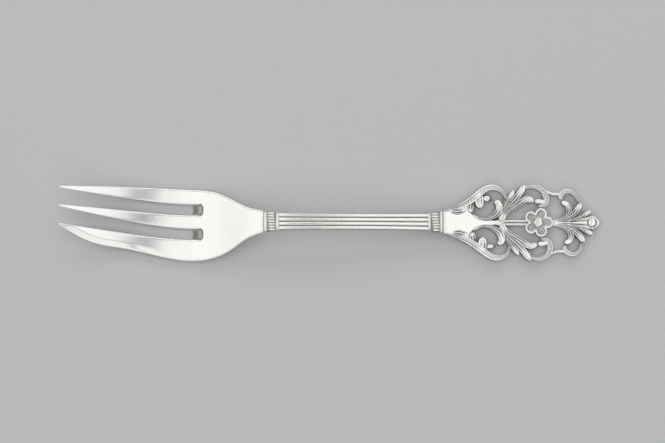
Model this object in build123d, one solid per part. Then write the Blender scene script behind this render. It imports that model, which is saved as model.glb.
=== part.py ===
from build123d import *
import math
import os

os.makedirs("parts", exist_ok=True)

# Pastry fork in millimetres. X runs from the tines to the finial, Y is positive on the fork's right
# side (the narrow tine) and Z is up. The head's belly and the flat finial rest on Z = 0.

# Lengths along the fork
head_length = 52.8
collar_length = 4.0
stem_length = 38.4
shoulder_to_rosette = 24.8
rosette_to_tip = 16.0

# Side profile
tines_to_belly = 33.0
tip_rise = 5.6
arch_rise = 5.0
arch_behind_neck = 6.2
foot_length = 15.8
tip_thickness = 0.9
belly_thickness = 1.7
neck_thickness = 2.6
stem_thickness = 2.7
collar_thickness = 3.0
plate_thickness = 1.7

# Head
neck_width = 5.8
right_shoulder = 8.7
left_shoulder = 10.1
flank_runs = (0.22, 0.5, 0.72)
right_flank_shares = (0.17, 0.62, 0.9)
left_flank_shares = (0.2, 0.68, 0.91)
right_edge_at_tips = 9.4
right_edge_bow = 0.05
tine_pitch = 4.85
tine_tip_width = 0.6
tine_tip_radius = 0.2
slot_root = 34.2
slot_width = 2.6
slot_corner = 0.7
slot_slope = 2.2
right_tine_width = 4.05
middle_tine_width = 3.75
left_waist_width = 4.0
right_tine_bow = 0.4
middle_right_bow = 0.1
middle_left_bow = 0.65
left_tine_bow = 0.45
cutting_start = 0.8
cutting_length = 25.0
cutting_bevel = 1.75
cutting_edge_drop = 0.7
heel_length = 7.0
heel_depth = 4.1
heel_middle_run = 3.4
heel_middle_depth = 2.2
heel_tip_lean = 0.65

# Ferrules and the tenons inside them
collar_outer_width = 5.85
collar_inner_width = 4.75
fillet_length = 0.85
fillet_step = 0.16
fillet_crown = 0.3
bead_count = 7
bead_sagitta = 0.2
tenon_width = 3.0
tenon_height = 1.3
tenon_clearance = 0.05
tenon_root = 1.0

# Stem
stem_waist = 4.15
stem_end_width = 4.5
reed_count = 4
reed_sagitta = 0.42
stem_back_sagitta = 0.35

# Shoulder plate
shoulder_width = 5.8
flare_run = 6.8
flare_spread = 2.5
tongue_tip_width = 0.3
plate_margin = 0.5

# Leaves and scrolls
finial_half_width = 10.1
scroll_skew = 0.07
scroll_height = 2.1
sheath_rise = 0.85
cup_root_height = 2.45
cup_height = 2.3
bridge_height = 2.0
leaf_height = 2.25
outer_leaf_height = 1.95
inner_leaf_root_height = 2.15
inner_leaf_height = 2.3
curl_root_height = 2.35
spur_leaf_height = 2.0
lobe_rise = 0.45
wall_draft = 0.12
leaf_dish = 0.35
leaf_rim_drop = 0.08
scroll_dish = 0.3
scroll_rim_drop = 0.12
scroll_ridge_drop = 0.08
scroll_ridge_share = 0.35
bud_radius = 1.15

# Stalk and the drop at the tip
stalk_width = 1.75
stalk_height = 1.6
stalk_rib = 0.35
drop_radius = 1.9
tip_bead_radius = 1.4
tip_bead_rise = 0.9
tip_setting_height = 1.5
tip_setting_depth = 0.4
tip_peg_radius = 0.5

# Rosette
petal_count = 5
petal_distance = 2.35
petal_radius = 1.5
petal_dish_radius = 1.2
petal_dish_depth = 0.4
rosette_thickness = 1.05
pad_radius = 2.3
boss_radius = 1.42
boss_rise = 0.75
peg_radius = 0.5
peg_clearance = 0.04

# Stations along X, with the middle of the whole length at zero
total_length = head_length + 2 * collar_length + stem_length + shoulder_to_rosette + rosette_to_tip
tip_x = -total_length / 2
belly_x = tip_x + tines_to_belly
neck_x = tip_x + head_length
stem_x = neck_x + collar_length
stem_end_x = stem_x + stem_length
shoulder_x = stem_end_x + collar_length
rosette_x = shoulder_x + shoulder_to_rosette
finial_end_x = rosette_x + rosette_to_tip
arch_x = neck_x + arch_behind_neck
flat_x = shoulder_x + foot_length
arch_run = shoulder_x - arch_x

# The finial is drawn with 24.8 units between the shoulder and the middle of the rosette
drawing_unit = shoulder_to_rosette / 24.8


def blend(value, start, end):
    share = min(max((value - start) / (end - start), 0.0), 1.0)
    return (1 - math.cos(math.pi * share)) / 2


def underside(x):
    # Tines and stem are parabolas, the neck is a smooth ramp, the finial lies flat
    if x <= belly_x:
        return tip_rise * ((belly_x - x) / tines_to_belly) ** 2
    if x <= arch_x:
        return arch_rise * blend(x, belly_x, arch_x)
    if x <= shoulder_x:
        return arch_rise * (1 - (x - arch_x) ** 2 / (arch_run * (arch_run + foot_length)))
    if x <= flat_x:
        return arch_rise * (flat_x - x) ** 2 / (foot_length * (arch_run + foot_length))
    return 0.0


def thickness(x):
    if x <= belly_x:
        return tip_thickness + (belly_thickness - tip_thickness) * (x - tip_x) / tines_to_belly
    if x <= neck_x:
        return belly_thickness + (neck_thickness - belly_thickness) * blend(x, belly_x, neck_x)
    return neck_thickness + (plate_thickness - neck_thickness) * blend(x, shoulder_x, flat_x)


def topside(x):
    return underside(x) + thickness(x)


def slab(start, end, steps):
    # Solid between the underside and the top of the fork, wider than the fork
    places = [start + (end - start) * k / steps for k in range(steps + 1)]
    lower = Spline(*[(x, underside(x)) for x in places])
    upper = Spline(*[(x, topside(x)) for x in reversed(places)])
    rim = lower + Line(lower @ 1, upper @ 0) + upper + Line(upper @ 1, lower @ 0)
    return extrude(Plane.XZ * make_face(rim), 2 * finial_half_width, both=True)


def standing(face):
    # Upright block over a plan outline, from below the fork to above it
    return Pos(0, 0, -belly_thickness) * extrude(face, 4 * (arch_rise + neck_thickness))


def largest(shape):
    return max(shape.solids(), key=lambda piece: piece.volume)


def ferrule_level(start):
    # Height of the straight bore through a ferrule that starts at this station
    return underside(start + collar_length / 2) + neck_thickness / 2


def tenon(start, end, level):
    return Pos((start + end) / 2, 0, level) * Box(end - start, tenon_width, tenon_height)


def tenon_hole(start, end, level):
    gap = 2 * tenon_clearance
    return Pos((start + end) / 2, 0, level) * Box(end - start, tenon_width + gap, tenon_height + gap)


neck_bore = ferrule_level(neck_x)
finial_bore = ferrule_level(stem_end_x)

# Head: plan outline cut from the curved slab
right_tip_y = right_edge_at_tips - tine_tip_width / 2
middle_tip_y = right_tip_y - tine_pitch
left_tip_y = middle_tip_y - tine_pitch
root_x = tip_x + slot_root
waist_x = (tip_x + root_x) / 2
right_root_y = right_shoulder - right_tine_width
middle_root_y = right_root_y - slot_width
left_slot_y = middle_root_y - middle_tine_width
left_root_y = left_slot_y - slot_width
half_tip = tine_tip_width / 2
neck_half = neck_width / 2
neck_run = neck_x - root_x
heel_x = tip_x + heel_length
heel_y = left_tip_y - heel_depth
right_growth = right_shoulder - neck_half
left_growth = left_shoulder - neck_half


right_contour = Spline(
    (neck_x, neck_half),
    *[
        (neck_x - run * neck_run, neck_half + share * right_growth)
        for run, share in zip(flank_runs, right_flank_shares)
    ],
    (root_x, right_shoulder),
    (waist_x, right_edge_at_tips - right_edge_bow),
    (tip_x, right_edge_at_tips),
)
left_contour = Spline(
    (neck_x, -neck_half),
    *[
        (neck_x - run * neck_run, -neck_half - share * left_growth)
        for run, share in zip(flank_runs, left_flank_shares)
    ],
    (root_x, -left_shoulder),
    (waist_x, (left_root_y + left_tip_y) / 2 - left_tine_bow - left_waist_width),
    (heel_x, heel_y),
)
heel_curve = Spline(
    (heel_x, heel_y),
    (tip_x + heel_middle_run, left_tip_y - heel_middle_depth),
    (tip_x, left_tip_y - half_tip),
    tangents=[left_contour % 1, Vector(-1, heel_tip_lean, 0)],
)
front = Line((tip_x, left_tip_y - half_tip), (tip_x, right_edge_at_tips))
neck_line = Line((neck_x, neck_half), (neck_x, -neck_half))
head_face = make_face(right_contour + neck_line + left_contour + heel_curve + front)


def slot(upper_root, lower_root, upper_tip, lower_tip, upper_bow, lower_bow):
    # Opening between two tines, square at the root with small rounded corners
    upper_waist = (waist_x, (upper_root + upper_tip) / 2 - upper_bow)
    lower_waist = (waist_x, (lower_root + lower_tip) / 2 - lower_bow)
    upper = Spline((root_x, upper_root), upper_waist, (tip_x, upper_tip))
    lower = Spline((tip_x, lower_tip), lower_waist, (root_x, lower_root))
    ends = Line((root_x, lower_root), (root_x, upper_root)) + Polyline(
        (tip_x, upper_tip), (tip_x - 1, upper_tip), (tip_x - 1, lower_tip), (tip_x, lower_tip)
    )
    face = make_face(upper + ends + lower)
    corners = face.vertices().group_by(Axis.X)[-1]
    return fillet(corners, slot_corner)


head_face -= slot(
    right_root_y,
    middle_root_y,
    right_tip_y - half_tip,
    middle_tip_y + half_tip,
    right_tine_bow,
    middle_right_bow,
)
head_face -= slot(
    left_slot_y,
    left_root_y,
    middle_tip_y - half_tip,
    left_tip_y + half_tip,
    middle_left_bow,
    left_tine_bow,
)
tine_ends = head_face.vertices().group_by(Axis.X)[0]
head_face = fillet(tine_ends, tine_tip_radius)
fork_head = standing(head_face) & slab(tip_x, neck_x, 12)

# Sloped ends of the two slots: the rounded root runs back as it rises
for upper_root, lower_root in ((right_root_y, middle_root_y), (left_slot_y, left_root_y)):
    width = upper_root - lower_root
    middle = (upper_root + lower_root) / 2
    root_end = Pos(root_x - width, middle) * Rectangle(2 * width, width)
    root_end = fillet(root_end.vertices().group_by(Axis.X)[-1], slot_corner)
    rise = Vector(slot_slope, 0, belly_thickness)
    sloped = extrude(root_end, 1.5 * rise.length, dir=rise.normalized())
    fork_head -= sloped & Pos(root_x - slot_corner + 2 * width, middle, 0) * Box(4 * width, width, 20)


def left_edge_y(x):
    # Outer edge of the broad tine at one station, found on its own curve
    curve = heel_curve if x < heel_x else left_contour
    low, high = 0.0, 1.0
    for _ in range(40):
        middle = (low + high) / 2
        if (curve @ middle).X > x:
            low = middle
        else:
            high = middle
    return (curve @ low).Y


# Cutting bevel along the outer edge of the broad tine, fading out towards the bowl
bevel_faces = []
for k in range(6):
    x = tip_x + cutting_start + cutting_length * k / 5
    outer_y = left_edge_y(x)
    width = cutting_bevel * min(0.35 + 0.65 * k, 1.0)
    drop = cutting_edge_drop * min(1.0, 0.05 + (5 - k) / 2)
    high = topside(x)
    ring = Polyline(
        (outer_y + width, high),
        (outer_y - width, high - 2 * drop),
        (outer_y - width, high + 3),
        (outer_y + width, high + 3),
        close=True,
    )
    bevel_faces.append(Plane(origin=(x, 0, 0), x_dir=(0, 1, 0), z_dir=(1, 0, 0)) * make_face(ring))
fork_head -= loft(bevel_faces)
tang_reach = collar_length / 2
fork_head = largest(fork_head) + tenon(neck_x - tenon_root, neck_x + tang_reach, neck_bore)


def cross_plane(x):
    return Plane(origin=(x, 0, underside(x)), x_dir=(0, 1, 0), z_dir=(1, 0, 0))


def band_face(x, width, height, ribs, sagitta, back):
    # Section across the fork: ribs side by side on top, slightly rounded back
    half = width / 2
    pitch = width / ribs
    crown = []
    for k in range(ribs):
        start = half - k * pitch
        crown.append(
            ThreePointArc(
                (start, height - sagitta), (start - pitch / 2, height), (start - pitch, height - sagitta)
            )
        )
    rim = [
        ThreePointArc((-half, back), (0, 0), (half, back)),
        Line((half, back), (half, height - sagitta)),
        *crown,
        Line((-half, height - sagitta), (-half, back)),
    ]
    return cross_plane(x) * make_face(rim)


def collar(stem_side, far_side):
    # Ferrule that widens away from the stem: two plain fillets with a row of beads between them
    run = far_side - stem_side
    direction = 1 if run > 0 else -1
    grow = collar_outer_width - collar_inner_width

    def width_at(x):
        return collar_inner_width + grow * (x - stem_side) / run

    inner = stem_side + direction * fillet_length
    outer = far_side - direction * fillet_length
    pieces = []
    for start, end, ribs, sagitta, step in (
        (stem_side, inner, 1, fillet_crown, 0.0),
        (inner, outer, bead_count, bead_sagitta, fillet_step),
        (outer, far_side, 1, fillet_crown, 0.0),
    ):
        tall = collar_thickness - step / 2
        faces = [
            band_face(x, width_at(x) - 2 * step, tall, ribs, sagitta, stem_back_sagitta)
            for x in (min(start, end), max(start, end))
        ]
        pieces.append(loft(faces))
    body = pieces[0] + pieces[1] + pieces[2]
    first = min(stem_side, far_side)
    return body - tenon_hole(first - 1, first + collar_length + 1, ferrule_level(first))


neck_collar = collar(stem_x, neck_x)
finial_collar = collar(stem_end_x, shoulder_x)

# Stem: four reeds on a slightly waisted bar, with a tenon at each end
stem_faces = []
for k in range(5):
    share = k / 4
    x = stem_x + stem_length * share
    width = stem_waist + (stem_end_width - stem_waist) * (2 * share - 1) ** 2
    stem_faces.append(band_face(x, width, stem_thickness, reed_count, reed_sagitta, stem_back_sagitta))
stem = loft(stem_faces)
tenon_reach = collar_length / 2 - tenon_clearance
stem += tenon(stem_x - tenon_reach, stem_x + tenon_root, neck_bore)
stem += tenon(stem_end_x - tenon_root, stem_end_x + tenon_reach, finial_bore)


def drawn_x(u):
    return rosette_x + drawing_unit * u


def at(u, v, side):
    # Place in the finial's drawing: u from the rosette towards the tip, v outwards from the axis
    return (drawn_x(u - scroll_skew * side * v), drawing_unit * side * v)


def leaf_crown(lip, height):
    # Top of a leaf: dished on both sides of a midrib
    dish = min(leaf_dish, 0.4 * lip)
    rim = height - leaf_rim_drop
    right_half = ThreePointArc((lip, rim), (lip / 2, height - dish), (0, height))
    left_half = ThreePointArc((0, height), (-lip / 2, height - dish), (-lip, rim))
    return right_half + left_half


def scroll_crown(lip, height, turn):
    # Top of a scroll: a round rim on the side that turn names, and a hollow on the other side
    dish = min(scroll_dish, 0.6 * lip)
    ridge = (scroll_ridge_share * lip * turn, height - scroll_ridge_drop)
    rim = (lip * turn, height - scroll_rim_drop)
    inside = (-lip * turn, height - dish)
    round_rim = ThreePointArc(rim, ((rim[0] + ridge[0]) / 2, height), ridge)
    hollow = ThreePointArc(ridge, ((ridge[0] + inside[0]) / 2, height - 1.1 * dish), inside)
    return round_rim + hollow


def ribbon(points, widths, heights, side, outer=0, base=0.0):
    # Drafted bar along a plan curve, from base up to its heights above the underside, widths at equal
    # steps. Its top is a leaf if outer = 0, otherwise a scroll with its rim on the outer side.
    path = Spline(*[at(u, v, side) for u, v in points])
    last = len(widths) - 1
    faces = []
    for k, width in enumerate(widths):
        place = path @ (k / last)
        along = path % (k / last)
        height = heights[0] + (heights[1] - heights[0]) * k / last
        half = drawing_unit * width / 2
        low = drawing_unit * base
        lip = half - min(wall_draft, 0.3 * half)
        crown = scroll_crown(lip, height, outer * side) if outer else leaf_crown(lip, height)
        ends = sorted([crown @ 0, crown @ 1], key=lambda end: end.X)
        walls = Polyline(ends[0], (-half, low), (half, low), ends[1])
        foot = (place.X, place.Y, underside(place.X))
        plane = Plane(origin=foot, x_dir=(-along.Y, along.X, 0), z_dir=along)
        faces.append(plane * make_face(crown + walls))
    return loft(faces)


def fused(pieces):
    whole = pieces[0]
    for piece in pieces[1:]:
        whole = whole + piece
    return whole


def coped(piece, *neighbours):
    # The piece without what its neighbours fill
    for neighbour in neighbours:
        piece = largest(piece - neighbour)
    return piece


def lobe_height(u):
    return thickness(drawn_x(u)) + lobe_rise


def bud(u, v, radius, side):
    x, y = at(u, v, side)
    return Pos(x, y, underside(x) + radius) * Sphere(radius)


# Shoulder plate: flares from the ferrule, is hollowed beside the curled leaves and ends in a pointed tongue
shoulder_half = shoulder_width / 2
stalk_half = stalk_width / 2
half_tongue = tongue_tip_width / 2
tongue_x = drawn_x(-8.6)
plate_edges = []
for side in (1, -1):
    flare = Spline(
        (shoulder_x, side * shoulder_half),
        (shoulder_x + 0.3 * flare_run, side * (shoulder_half + 0.16 * flare_spread)),
        (shoulder_x + 0.65 * flare_run, side * (shoulder_half + 0.54 * flare_spread)),
        (shoulder_x + flare_run, side * (shoulder_half + flare_spread)),
    )
    corner = Line(flare @ 1, (drawn_x(-17.5), side * drawing_unit * 2.9))
    hollow = Spline(
        corner @ 1,
        (drawn_x(-16.1), side * drawing_unit * 1.5),
        (drawn_x(-12.2), side * stalk_half),
        tangents=[(1, -side), (1, 0)],
    )
    tongue = Line(hollow @ 1, (tongue_x, side * half_tongue))
    plate_edges.append(flare + corner + hollow + tongue)
tongue_end = Line((tongue_x, half_tongue), (tongue_x, -half_tongue))
root_line = Line((shoulder_x, shoulder_half), (shoulder_x, -shoulder_half))
shoulder_face = make_face(plate_edges[0] + tongue_end + plate_edges[1] + root_line)
shoulder = standing(shoulder_face) & slab(shoulder_x, flat_x + plate_margin, 6)
shoulder += tenon(shoulder_x - tang_reach, shoulder_x + tenon_root, finial_bore)

# Stalk: two ribs side by side that grip the plate's tongue, with a round pad that carries the rosette
stalk_start = drawn_x(-11.6)
stalk_end = drawn_x(4.2)
rib_foot = stalk_height - stalk_rib
stalk_rim = [
    Polyline((0, rib_foot), (0, 0), (stalk_half, 0), (stalk_half, rib_foot)),
    ThreePointArc((stalk_half, rib_foot), (stalk_half / 2, stalk_height), (0, rib_foot)),
]
stalk_plane = Plane(origin=(stalk_start, 0, 0), x_dir=(0, 1, 0), z_dir=(1, 0, 0))
right_rib = extrude(stalk_plane * make_face(stalk_rim), stalk_end - stalk_start)
stalk = right_rib + mirror(right_rib, Plane.XZ)
stalk += Pos(rosette_x, 0, stalk_height / 2) * Cylinder(pad_radius, stalk_height)
stalk -= Pos(rosette_x, 0, stalk_height / 2) * Cylinder(peg_radius + peg_clearance, stalk_height)
stalk = coped(stalk, shoulder)

# Rosette: five dished petals around a hole for the bead's peg
rosette_top = stalk_height + rosette_thickness
dish_ball = (petal_dish_radius**2 + petal_dish_depth**2) / (2 * petal_dish_depth)
seat_level = rosette_thickness / 2 - petal_dish_depth
rosette_shape = Cylinder(petal_distance, rosette_thickness)
for spot in PolarLocations(petal_distance, petal_count):
    rosette_shape += spot * Cylinder(petal_radius, rosette_thickness)
for spot in PolarLocations(petal_distance, petal_count):
    rosette_shape -= spot * Pos(0, 0, seat_level + dish_ball) * Sphere(dish_ball)
rosette_shape -= Cylinder(peg_radius + peg_clearance, rosette_thickness)
rosette_shape -= Pos(0, 0, seat_level + petal_dish_depth) * Cylinder(boss_radius, 2 * petal_dish_depth)
rosette = Pos(rosette_x, 0, stalk_height + rosette_thickness / 2) * rosette_shape

# Bead of the rosette: low dome with a peg that goes down into the stalk's pad
bead_base = rosette_top - petal_dish_depth
boss_height = petal_dish_depth + boss_rise
boss_ball = (boss_radius**2 + boss_height**2) / (2 * boss_height)
dome = Pos(0, 0, bead_base + boss_height - boss_ball) * Sphere(boss_ball)
dome &= Pos(0, 0, bead_base + boss_height / 2) * Cylinder(boss_radius, boss_height)
peg = Pos(0, 0, bead_base / 2) * Cylinder(peg_radius, bead_base)
rosette_bead = Pos(rosette_x, 0, 0) * (dome + peg)

# End spray: three leaves on each side of the stalk and a drop that widens into the setting of the tip bead
setting_x = finial_end_x - drop_radius
spray_pieces = [
    ribbon(
        [(4.2, 0), (9.0, 0), ((setting_x - rosette_x) / drawing_unit, 0)],
        (stalk_width / drawing_unit, 1.6, 1.6, 2.0, 2.9, 1.95 * drop_radius / drawing_unit),
        (stalk_height, tip_setting_height),
        1,
    )
]
for side in (1, -1):
    spray_pieces.append(
        ribbon(
            [(3.9, 0.5), (6.7, 1.2), (8.3, 3.0), (7.8, 4.8), (6.45, 5.2)],
            (0.6, 0.85, 1.15, 1.5, 1.7, 1.7, 1.45, 0.6),
            (stalk_height, leaf_height),
            side,
            base=0.1,
        )
    )
    spray_pieces.append(
        ribbon(
            [(5.6, 0.45), (8.75, 1.7), (11.6, 5.0)],
            (0.6, 1.0, 1.45, 1.8, 1.75, 0.5),
            (stalk_height, leaf_height),
            side,
            base=0.2,
        )
    )
    spray_pieces.append(
        ribbon(
            [(7.6, 0.4), (11.35, 1.6), (13.95, 3.1)],
            (0.5, 0.8, 1.15, 1.4, 1.35, 0.5),
            (stalk_height, spur_leaf_height),
            side,
            base=0.15,
        )
    )
end_spray = fused(spray_pieces)
end_spray += Pos(setting_x, 0, tip_setting_height / 2) * Cylinder(drop_radius, tip_setting_height)
seat_floor = tip_setting_height - tip_setting_depth
seat = Cylinder(tip_bead_radius + peg_clearance, 2 * tip_setting_depth)
end_spray -= Pos(setting_x, 0, tip_setting_height) * seat
end_spray -= Pos(setting_x, 0, seat_floor / 2) * Cylinder(tip_peg_radius + peg_clearance, seat_floor)
end_spray = coped(end_spray, stalk, rosette)

# Tip bead: polished drop with a peg in its setting
bead_height = tip_setting_depth + tip_bead_rise
bead_ball = (tip_bead_radius**2 + bead_height**2) / (2 * bead_height)
drop = Pos(0, 0, seat_floor + bead_height - bead_ball) * Sphere(bead_ball)
drop &= Pos(0, 0, seat_floor + bead_height / 2) * Cylinder(tip_bead_radius, bead_height)
tip_bead = Pos(setting_x, 0, 0) * (drop + Pos(0, 0, seat_floor / 2) * Cylinder(tip_peg_radius, seat_floor))

nodes = {
    "fork_head": fork_head,
    "neck_collar": neck_collar,
    "stem": stem,
    "finial_collar": finial_collar,
    "shoulder": shoulder,
    "stalk": stalk,
    "rosette": rosette,
    "rosette_bead": rosette_bead,
    "end_spray": end_spray,
    "tip_bead": tip_bead,
}

for name, side in (("right", 1), ("left", -1)):
    outer_scroll = fused(
        [
            ribbon(
                [(-24.1, 2.95), (-21.5, 3.6), (-18.3, 5.0), (-15.4, 7.0), (-13.3, 8.6), (-11.3, 9.2),
                 (-9.3, 8.55), (-8.2, 7.2), (-7.85, 5.9)],
                (0.4, 0.9, 1.35, 1.65, 1.8, 1.9, 1.75, 1.6, 1.3, 0.9, 0.55),
                (scroll_height + sheath_rise, scroll_height),
                side,
                outer=1,
                base=0.05,
            ),
            ribbon(
                [(-22.8, 3.0), (-20.9, 2.75), (-18.6, 3.6)],
                (0.5, 1.5, 1.8, 1.6, 0.8),
                (lobe_height(-22.8), lobe_height(-18.6)),
                side,
                base=0.3,
            ),
            ribbon(
                [(-16.7, 6.0), (-17.25, 4.5), (-17.45, 2.6)],
                (1.5, 1.85, 1.9, 0.9),
                (lobe_height(-16.7), lobe_height(-17.45)),
                side,
                base=0.2,
            ),
            ribbon(
                [(-14.6, 8.3), (-14.8, 6.1), (-14.75, 3.8)],
                (1.9, 2.4, 2.5, 2.3, 1.1),
                (cup_root_height, cup_height),
                side,
                base=0.17,
            ),
            bud(-12.7, 6.2, bud_radius, side),
        ]
    )
    outer_scroll = coped(outer_scroll, shoulder)

    leaf_spray = fused(
        [
            ribbon(
                [(-9.9, 0.75), (-8.95, 3.35), (-6.95, 6.4), (-5.65, 8.45)],
                (0.8, 1.05, 1.25, 1.4, 1.45, 1.3, 0.5),
                (outer_leaf_height, outer_leaf_height),
                side,
                base=0.1,
            ),
            ribbon(
                [(-9.6, 0.7), (-8.9, 2.45), (-6.6, 5.0), (-4.4, 7.4), (-2.7, 9.8)],
                (0.8, 1.2, 1.5, 1.75, 1.9, 1.95, 1.75, 0.5),
                (leaf_height, leaf_height),
                side,
                base=0.05,
            ),
            ribbon(
                [(-9.1, 0.65), (-8.6, 1.75), (-4.8, 4.7), (-2.35, 6.1), (-0.75, 5.55)],
                (1.0, 1.4, 1.55, 1.65, 1.75, 1.85, 1.75, 0.7),
                (inner_leaf_root_height, inner_leaf_height),
                side,
                base=0.2,
            ),
            ribbon(
                [(-16.9, 1.95), (-15.2, 1.15), (-13.0, 1.05), (-11.0, 1.95), (-9.8, 3.6), (-10.0, 5.0),
                 (-11.0, 5.4)],
                (0.5, 0.6, 0.75, 1.1, 1.5, 1.9, 2.1, 1.8, 0.7),
                (curl_root_height, leaf_height),
                side,
                base=0.15,
            ),
        ]
    )
    leaf_spray = coped(leaf_spray, shoulder, stalk, outer_scroll, rosette)

    middle_scroll = fused(
        [
            ribbon(
                [(-2.75, 9.1), (-1.2, 9.42), (1.1, 8.9), (2.55, 7.0), (2.2, 4.85), (0.3, 4.3)],
                (0.6, 0.95, 1.05, 1.2, 1.45, 1.65, 1.7, 1.5, 1.1, 0.7),
                (scroll_height, scroll_height),
                side,
                outer=1,
            ),
            ribbon(
                [(2.1, 5.3), (0.8, 5.55), (-0.45, 5.5)],
                (0.9, 1.3, 1.25, 0.5),
                (scroll_height, leaf_height),
                side,
                base=0.1,
            ),
        ]
    )
    middle_scroll = coped(middle_scroll, leaf_spray, rosette, stalk)

    end_scroll = fused(
        [
            ribbon(
                [(6.48, 6.0), (6.42, 7.0), (7.1, 7.8), (8.15, 8.2), (9.2, 8.0), (10.4, 6.8), (10.83, 5.2)],
                (0.8, 1.4, 1.45, 1.25, 1.1, 0.95, 0.75, 0.5),
                (scroll_height, scroll_height),
                side,
                outer=1,
            ),
            ribbon(
                [(2.6, 8.2), (4.4, 7.5), (6.2, 7.5)],
                (0.7, 0.75, 0.8, 0.9),
                (bridge_height, bridge_height),
                side,
                base=0.1,
            ),
        ]
    )
    end_scroll = coped(end_scroll, middle_scroll, end_spray)

    nodes[name + "_outer_scroll"] = outer_scroll
    nodes[name + "_leaf_spray"] = leaf_spray
    nodes[name + "_middle_scroll"] = middle_scroll
    nodes[name + "_end_scroll"] = end_scroll

for name, shape in nodes.items():
    export_step(shape, f"parts/{name}.step")
    box = shape.bounding_box()
    print(name, len(shape.solids()), round(shape.volume, 2), box.min, box.max)
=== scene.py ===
import bmesh
import bpy
import math
import numpy as np
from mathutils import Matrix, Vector
from mathutils.geometry import delaunay_2d_cdt


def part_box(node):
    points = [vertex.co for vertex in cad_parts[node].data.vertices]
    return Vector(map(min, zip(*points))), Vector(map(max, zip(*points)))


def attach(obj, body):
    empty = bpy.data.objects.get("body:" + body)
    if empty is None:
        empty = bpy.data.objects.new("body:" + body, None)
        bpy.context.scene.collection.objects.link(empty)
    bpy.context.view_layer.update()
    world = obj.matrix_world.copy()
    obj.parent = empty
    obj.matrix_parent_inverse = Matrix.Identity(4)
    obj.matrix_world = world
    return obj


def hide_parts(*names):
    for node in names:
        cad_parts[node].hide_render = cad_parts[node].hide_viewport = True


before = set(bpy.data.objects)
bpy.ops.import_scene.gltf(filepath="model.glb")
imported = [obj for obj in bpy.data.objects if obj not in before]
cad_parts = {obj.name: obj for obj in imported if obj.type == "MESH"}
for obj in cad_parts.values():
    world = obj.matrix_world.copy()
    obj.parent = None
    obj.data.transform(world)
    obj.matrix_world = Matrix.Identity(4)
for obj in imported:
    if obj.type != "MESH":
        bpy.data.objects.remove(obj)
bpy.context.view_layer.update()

# Shapes are worked out in millimetres, in the CAD frame, and scaled once when a mesh is made
mm = 0.001
tiny = 1e-12


def spanX(node):
    low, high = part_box(node)
    return low[0] / mm, high[0] / mm


# Stations along the fork, from the CAD nodes
tipX = spanX("fork_head")[0]
neckX, stemX = spanX("neck_collar")
stemEndX, shoulderX = spanX("finial_collar")
rosetteX = sum(spanX("rosette_bead")) / 2
endX = spanX("end_spray")[1]

profile = {
    "tinesToBelly": 33.0, "tipRise": 5.6, "archRise": 5.0, "archBehindNeck": 6.2, "footLength": 15.8,
    "tipThick": 0.9, "bellyThick": 1.7, "neckThick": 2.6, "plateThick": 1.7,
}
bellyX = tipX + profile["tinesToBelly"]
archX = neckX + profile["archBehindNeck"]
flatX = shoulderX + profile["footLength"]


# Small helpers for profiles and plan shapes
def blend(value, start, end):
    share = np.clip((value - start) / (end - start), 0, 1)
    return (1 - np.cos(np.pi * share)) / 2


def ramp(value, start, run):
    # Straight rise from 0 at the start to 1 after the run
    return np.clip((value - start) / run, 0, 1)


def hump(off, width):
    return np.exp(-((off / width) ** 2))


def dome(off):
    return np.sqrt(np.clip(1 - off**2, 0, 1))


def columns(*parts):
    # Arrays side by side; a single number fills its column
    count = max(len(part) for part in parts if np.ndim(part))
    return np.column_stack([part if np.ndim(part) else np.full(count, part) for part in parts])


def circle(turn):
    return columns(np.cos(turn), np.sin(turn))


def unit(ways):
    return ways / np.linalg.norm(ways, axis=1)[:, None]


def leftOf(ways):
    return columns(-ways[:, 1], ways[:, 0])


def spreadOut(values, share):
    # Values at equal steps from 0 to 1, read at any share between
    return np.interp(share, np.linspace(0, 1, len(values)), values)


def underside(x):
    x = np.asarray(x, float)
    run, foot, rise = shoulderX - archX, profile["footLength"], profile["archRise"]
    tines = profile["tipRise"] * ((bellyX - x) / profile["tinesToBelly"]) ** 2
    climb = rise * blend(x, bellyX, archX)
    arch = rise * (1 - (x - archX) ** 2 / (run * (run + foot)))
    landing = rise * (flatX - x) ** 2 / (foot * (run + foot))
    return np.select([x <= bellyX, x <= archX, x <= shoulderX, x <= flatX], [tines, climb, arch, landing], 0.0)


def thickness(x):
    x = np.asarray(x, float)
    tip, belly = profile["tipThick"], profile["bellyThick"]
    neck, plate = profile["neckThick"], profile["plateThick"]
    tines = tip + (belly - tip) * (x - tipX) / profile["tinesToBelly"]
    bowl = belly + (neck - belly) * blend(x, bellyX, neckX)
    back = neck + (plate - neck) * blend(x, shoulderX, flatX)
    return np.select([x <= bellyX, x <= neckX], [tines, bowl], back)


def topside(x):
    return underside(x) + thickness(x)


def addNode(tree, kind, values=None, **settings):
    # New node with its settings, and values for the inputs that stay unlinked
    node = tree.nodes.new(kind)
    for label, value in settings.items():
        setattr(node, label, value)
    for socket, value in (values or {}).items():
        node.inputs[socket].default_value = value
    return node


def joinUp(tree, *links):
    # A link is a node and its output, then a node and its input
    for source, output, target, entry in links:
        tree.links.new(source.outputs[output], target.inputs[entry])


# Finishes: both read the attribute of painted shade and tarnish. It is 1 where the silver is painted darker:
# tarnish in its hollows, and painted shade in creases, in grooves, on walls and under other parts
noise = {"cloudDetail": 4.0, "scratchDetail": 3.0, "scratchReach": 0.02}


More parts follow.
